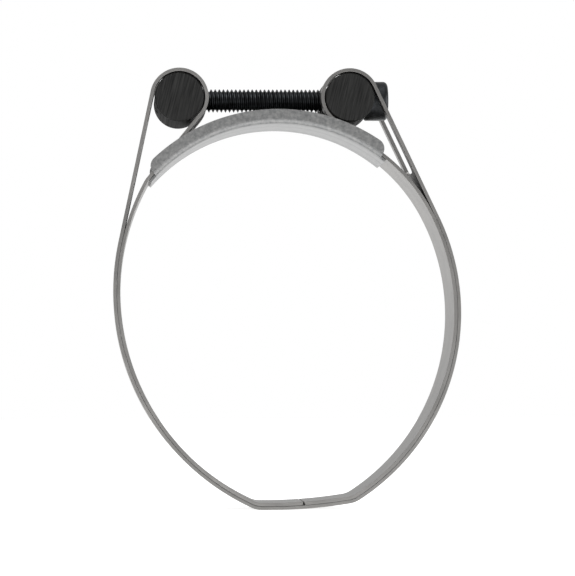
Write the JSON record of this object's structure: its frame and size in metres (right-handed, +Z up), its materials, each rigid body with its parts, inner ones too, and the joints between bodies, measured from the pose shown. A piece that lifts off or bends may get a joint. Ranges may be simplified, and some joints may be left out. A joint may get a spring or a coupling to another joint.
{
  "type": "hose clamp",
  "caption": "Heavy-duty hose clamp: doubled steel strip looped round two cross bars, a bridge over the gap and a socket head screw that draws the loops together.",
  "frame": {"origin": "centre of the bridge's hose seat, on the hose axis, midway across the strip", "axes": "+Y along the hose axis, +X along the screw towards its head, +Z up through the bridge"},
  "size_m": [0.1176, 0.0278, 0.1492],
  "materials": {
    "strip_steel": "rolled",
    "zinc_steel": "galvanised",
    "black_oxide": "black oxide"
  },
  "bodies": {
    "lower_band": {"band_base": "strip_steel", "inner_end_left": "strip_steel", "inner_end_right": "strip_steel", "welds_base": "strip_steel"},
    "left_band": {"loop_left": "strip_steel", "welds_left": "strip_steel"},
    "right_band": {"loop_right": "strip_steel", "welds_right": "strip_steel"},
    "bridge_plate": {"bridge": "zinc_steel"},
    "left_bar": {"threaded_trunnion": "black_oxide"},
    "right_bar": {"plain_trunnion": "black_oxide"},
    "screw": {"clamp_screw": "black_oxide"}
  },
  "joints": [
    {"name": "screw_turn", "type": "hinge", "parent": "right_bar", "child": "screw", "pos_m": [0.0244, 0, 0.0657], "axis": [-1, 0, 0], "range_deg": [0, 4411]},
    {"name": "left_flex", "type": "hinge", "parent": "lower_band", "child": "left_band", "pos_m": [-0.05353, 0, -0.0002], "axis": [0, 1, 0], "range_deg": [0, 7.51]},
    {"name": "right_flex", "type": "hinge", "parent": "lower_band", "child": "right_band", "pos_m": [0.05917, 0, -0.00084], "axis": [0, -1, 0], "range_deg": [0, 8]},
    {"name": "left_bar_swivel", "type": "hinge", "parent": "left_band", "child": "left_bar", "pos_m": [-0.03345, 0, 0.0657], "axis": [0, -1, 0], "range_deg": [0, 4.51]},
    {"name": "right_bar_swivel", "type": "hinge", "parent": "right_band", "child": "right_bar", "pos_m": [0.0244, 0, 0.0657], "axis": [0, 1, 0], "range_deg": [0, 11.01]},
    {"name": "bridge_drop", "type": "slide", "parent": "lower_band", "child": "bridge_plate", "axis": [0, 0, -1], "range_m": [0, 0.00951]}
  ],
  "couplings": [
    {"joint": "left_flex", "follows": "right_flex", "ratio": 0.9375},
    {"joint": "left_bar_swivel", "follows": "right_flex", "ratio": 0.5625},
    {"joint": "right_bar_swivel", "follows": "right_flex", "ratio": 1.375},
    {"joint": "bridge_drop", "follows": "right_flex", "m_per_rad": 0.068039},
    {"joint": "screw_turn", "follows": "right_flex", "ratio": 551.25}
  ]
}
